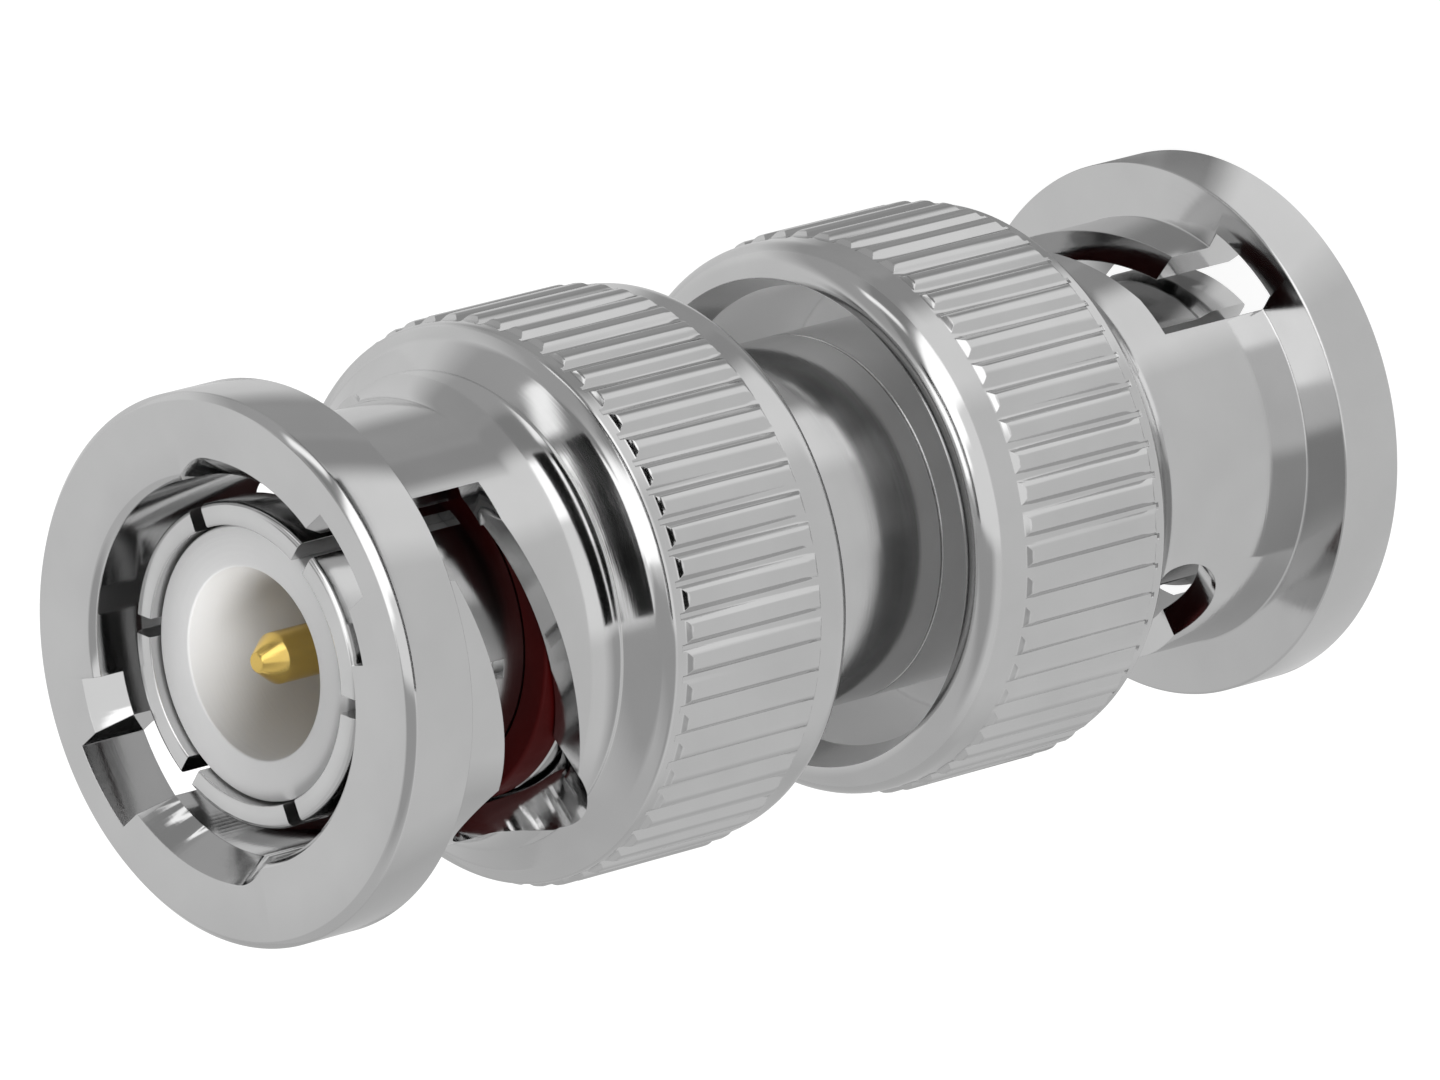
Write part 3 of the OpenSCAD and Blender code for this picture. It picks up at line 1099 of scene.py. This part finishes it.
@dataclass
class CentrePin:
    """Gilt centre pin, one turned piece with a tip at each end."""

    pin_r: float = 0.675
    tip_r: float = 0.25
    cone_w: float = 0.6
    core_from: float = 5.1
    steps: int = 96

    def build(self, finishes: Finishes) -> None:
        """Builds the pin and lets it stand for its CAD node.

        Args:
            finishes: the adapter's finishes.
        """
        tip, end, _ = span("centre_pin")
        collar_at = (tip + end - PIN_COLLAR_W) / 2
        lower = [
            Corner(0, tip),
            Corner(self.tip_r, tip, 0.04),
            Corner(self.pin_r, tip + self.cone_w, 0.05),
            Corner(self.pin_r, tip + self.core_from),
            Corner(PIN_CORE_R, tip + self.core_from),
            Corner(PIN_CORE_R, collar_at),
            Corner(PIN_COLLAR_R, collar_at),
        ]
        upper = [
            Corner(corner.radius, tip + end - corner.depth, corner.rounding) for corner in reversed(lower)
        ]
        shape = turned(lower + upper, closed=False, steps=self.steps)
        pin = new_object("centre_pin_dressed", shape, Matrix.Scale(MM, 4))
        hand_over(pin, "centre_pin", Slot.GOLD, finishes.gold)


# ---- studio


@dataclass(frozen=True)
class Panel:
    """One panel of the studio tent that bright metal mirrors.

    Its middle is an azimuth and its level is its brightness. Angles are in degrees.
    """

    azimuth: float
    half_width: float
    lowest: float
    highest: float
    level: float
    softness: float


TENT_LEVEL = 0.77
TENT_PANELS = (
    Panel(-100, 45, 26, 90, 0.43, 18),
    Panel(-165, 38, -90, 90, 0.6, 24),
    Panel(96, 16, -90, 20, 0.84, 14),
    Panel(66, 20, -90, 66, 0.46, 16),
    Panel(38, 13, -90, -15, 0.42, 9),
    Panel(38, 13, -15, 68, 0.30, 7),
    Panel(-30, 32, -32, 66, 0.98, 8),
    Panel(10, 18, -90, -34, 1.0, 12),
    Panel(9, 15, -33, -20, 1.65, 5),
    Panel(7, 15, -20, 72, 1.7, 4),
    Panel(-9, 12, 33, 72, 1.7, 5),
    Panel(-18, 14, 52, 72, 1.7, 5),
    Panel(8, 47, 68, 90, 1.7, 5),
    Panel(130, 38, 74, 90, 1.3, 6),
    Panel(44, 12, 28, 37, 1.4, 4),
    Panel(114, 15, 52, 68, 0.1, 6),
)


def tent_group() -> NodeTree:
    """Brightness of the studio tent by azimuth and elevation.

    Returns:
        A group with inputs Azimuth and Elevation, in degrees, and the output Level.
    """
    graph, given, result = new_group("tent", {"Azimuth": 0.0, "Elevation": 0.0}, ["Level"])
    level = TENT_LEVEL
    for panel in TENT_PANELS:
        past = graph.math("SUBTRACT", given["Azimuth"], panel.azimuth - 540.0)
        wrapped = graph.math("FLOORED_MODULO", past, 360.0)
        aside = graph.math("ABSOLUTE", graph.math("SUBTRACT", wrapped, 180.0))
        soft = panel.softness / 2
        across = graph.spread(aside, panel.half_width - soft, panel.half_width + soft, 1.0, 0.0)
        over = graph.spread(given["Elevation"], panel.lowest - soft, panel.lowest + soft, 0.0, 1.0)
        under = graph.spread(given["Elevation"], panel.highest - soft, panel.highest + soft, 1.0, 0.0)
        share = graph.math("MULTIPLY", across, graph.math("MULTIPLY", over, under))
        blend = graph.add("ShaderNodeMix", data_type="FLOAT")
        for socket, source in zip(blend.inputs[0:1] + blend.inputs[2:4], (share, level, panel.level)):
            graph.feed(socket, source)
        level = blend.outputs[0]
    graph.feed(result["Level"], level)
    return graph.tree


@dataclass
class Studio:
    """Pale floor, soft key light, tent and the photograph's camera."""

    azimuth_deg: float = -34.98
    elevation_deg: float = 41.01
    roll_deg: float = -104.60
    distance: float = 0.4418
    focal_mm: float = 425.2
    aim: tuple[float, float, float] = (-0.00009, 0.00013, 0.01776)
    floor_half: float = 3.0
    floor_share: float = 0.25
    mirrored_elevation: float = -41.0
    ambient: float = 0.38
    key_azimuth: float = -80.0
    key_elevation: float = 24.0
    key_strength: float = 3.2
    key_spread_deg: float = 40.0
    floor_glow: float = 0.93
    flag_r: float = 0.015
    flag_arc: tuple[float, float] = (-54.0, 15.0)
    flag_strips: tuple[tuple[float, float], ...] = ((0.0312, 0.0344), (0.03535, 0.0384))
    flag_fall: float = 0.0019
    flag_steps: int = 16
    flag_grey: float = 0.02

    def direction(self, azimuth_deg: float, elevation_deg: float) -> Vector:
        """Unit vector from the part towards an azimuth and elevation."""
        azimuth, elevation = math.radians(azimuth_deg), math.radians(elevation_deg)
        level = math.cos(elevation)
        return Vector((level * math.cos(azimuth), level * math.sin(azimuth), math.sin(elevation)))

    def camera(self) -> None:
        """Places the camera of the photograph."""
        data = bpy.data.cameras.new("photograph_camera")
        data.sensor_fit = "HORIZONTAL"
        data.sensor_width = 36.0
        data.lens = self.focal_mm
        data.clip_start = 0.01
        data.clip_end = 20.0
        camera = add_object("photograph_camera", data)
        back = self.direction(self.azimuth_deg, self.elevation_deg)
        level = back.to_track_quat("Z", "Y").to_matrix().to_4x4()
        roll = Matrix.Rotation(math.radians(self.roll_deg), 4, "Z")
        camera.matrix_world = Matrix.Translation(Vector(self.aim) + back * self.distance) @ level @ roll
        bpy.context.scene.camera = camera

    def mirrored(self, graph: Graph, place: NodeSocket, tent: NodeTree) -> NodeSocket:
        """Brightness of the tent in the direction of a place, as metal mirrors it.

        Args:
            graph: graph of the floor or the world.
            place: position on the floor, or direction of the sky.
            tent: the tent's node group.

        Returns:
            The brightness.
        """
        parts = graph.add("ShaderNodeSeparateXYZ")
        graph.feed(parts.inputs[0], place)
        azimuth = graph.math("DEGREES", graph.math("ARCTAN2", parts.outputs[1], parts.outputs[0]))
        if graph.tree.nodes.get("World Output"):
            elevation = graph.math("DEGREES", graph.math("ARCSINE", parts.outputs[2]))
        else:
            elevation = self.mirrored_elevation
        return graph.group(tent, Azimuth=azimuth, Elevation=elevation).outputs["Level"]

    def floor(self, tent: NodeTree) -> None:
        """Lays a pale floor under the adapter, which metal sees as part of the tent.

        Args:
            tent: the tent's node group.
        """
        shape = bmesh.new()
        bmesh.ops.create_grid(shape, x_segments=1, y_segments=1, size=self.floor_half)
        floor = new_object("floor", shape)
        material, graph, shader = new_material("pale_floor")
        path = graph.add("ShaderNodeLightPath")
        mirrored = graph.math("SUBTRACT", self.mirrored(graph, graph.place(), tent), self.floor_share)
        seen = graph.math("MULTIPLY", path.outputs["Is Camera Ray"], self.floor_glow)
        lit = graph.math("MULTIPLY_ADD", path.outputs["Is Glossy Ray"], mirrored, seen)
        graph.fill(shader, {
            "Base Color": (*grey(self.floor_share), 1),
            "Roughness": 0.9,
            "Specular IOR Level": 0.0,
            "Emission Color": WHITE,
            "Emission Strength": lit,
        })
        floor.data.materials.append(material)

    def flag(self) -> None:
        """Hangs two curved black strips beside the upper shoulder, which only its mirror sees."""
        shape = bmesh.new()
        first, last = (math.radians(azimuth) for azimuth in self.flag_arc)
        for low, high in self.flag_strips:
            x, y = self.flag_r * math.cos(first), self.flag_r * math.sin(first)
            ends = [shape.verts.new((x, y, z)) for z in (low, high)]
            edge = shape.edges.new(ends)
            bmesh.ops.spin(
                shape, geom=[*ends, edge], cent=(0, 0, 0), axis=(0, 0, 1), angle=last - first,
                dvec=(0, 0, -self.flag_fall / self.flag_steps), steps=self.flag_steps,
            )
        flag = new_object("flag", shape)
        flag.visible_camera = flag.visible_diffuse = flag.visible_transmission = flag.visible_shadow = False
        material, graph, shader = new_material("black_flag")
        graph.fill(shader, {"Base Color": (*grey(self.flag_grey), 1), "Specular IOR Level": 0.0})
        flag.data.materials.append(material)

    def sky(self, tent: NodeTree) -> None:
        """Surrounds the scene with the tent, white to the camera.

        Args:
            tent: the tent's node group.
        """
        world = bpy.data.worlds.new("studio")
        world.use_nodes = True
        bpy.context.scene.world = world
        graph = Graph(world.node_tree)
        path = graph.add("ShaderNodeLightPath")
        place = graph.add("ShaderNodeTexCoord").outputs["Generated"]
        mirrored = graph.math("SUBTRACT", self.mirrored(graph, place, tent), self.ambient)
        lit = graph.math("MULTIPLY_ADD", path.outputs["Is Glossy Ray"], mirrored, self.ambient)
        white = graph.math("MULTIPLY", path.outputs["Is Camera Ray"], 1.0 - self.ambient)
        background = world.node_tree.nodes["Background"]
        graph.fill(background, {"Color": WHITE, "Strength": graph.math("ADD", lit, white)})

    def key_light(self) -> None:
        """Hangs one wide soft light above the camera's right."""
        data = bpy.data.lights.new("soft_key", "SUN")
        data.energy = self.key_strength
        data.angle = math.radians(self.key_spread_deg)
        lamp = add_object("soft_key", data)
        towards = self.direction(self.key_azimuth, self.key_elevation)
        lamp.matrix_world = towards.to_track_quat("Z", "Y").to_matrix().to_4x4()
        lamp.visible_glossy = False

    def build(self) -> None:
        """Sets up the whole studio."""
        bpy.context.scene.view_settings.view_transform = "Standard"
        tent = tent_group()
        self.camera()
        self.floor(tent)
        self.flag()
        self.sky(tent)
        self.key_light()


NUT_TURN_DEG = {End.UPPER: 15.3, End.LOWER: 1.0}


def main() -> None:
    """Builds the adapter's pieces and the studio."""
    logging.basicConfig(level=logging.INFO, format="%(message)s")
    finishes = Finishes()
    materials = {
        Slot.NICKEL: finishes.body_nickel,
        Slot.GOLD: finishes.gold,
        Slot.FLUOROPOLYMER: finishes.fluoropolymer,
        Slot.RUBBER: finishes.rubber,
        Slot.SPRING_STEEL: finishes.spring_steel,
    }
    slots = {item["node"]: Slot(item["material_slot"]) for item in frame["record"]["subparts"]}
    for name, node in frame["nodes"].items():
        node.data.materials.clear()
        node.data.materials.append(materials[slots[name]])
    for end, turn_deg in NUT_TURN_DEG.items():
        CouplingNut(end, turn_deg).build(finishes)
        OuterContact(end).build(finishes)
        Insulator(end).build(finishes)
        Ring(end, "gasket", inner_r=4.09, rounding=0.1).build(Slot.RUBBER, finishes.rubber)
        WaveWasher(end).build(finishes)
        Ring(end, "sleeve", inner_r=3.2, rounding=0.05).build(Slot.NICKEL, finishes.sleeve_nickel)
    Barrel().build(finishes)
    CentrePin().build(finishes)
    Studio().build()


if __name__ == "__main__":
    main()
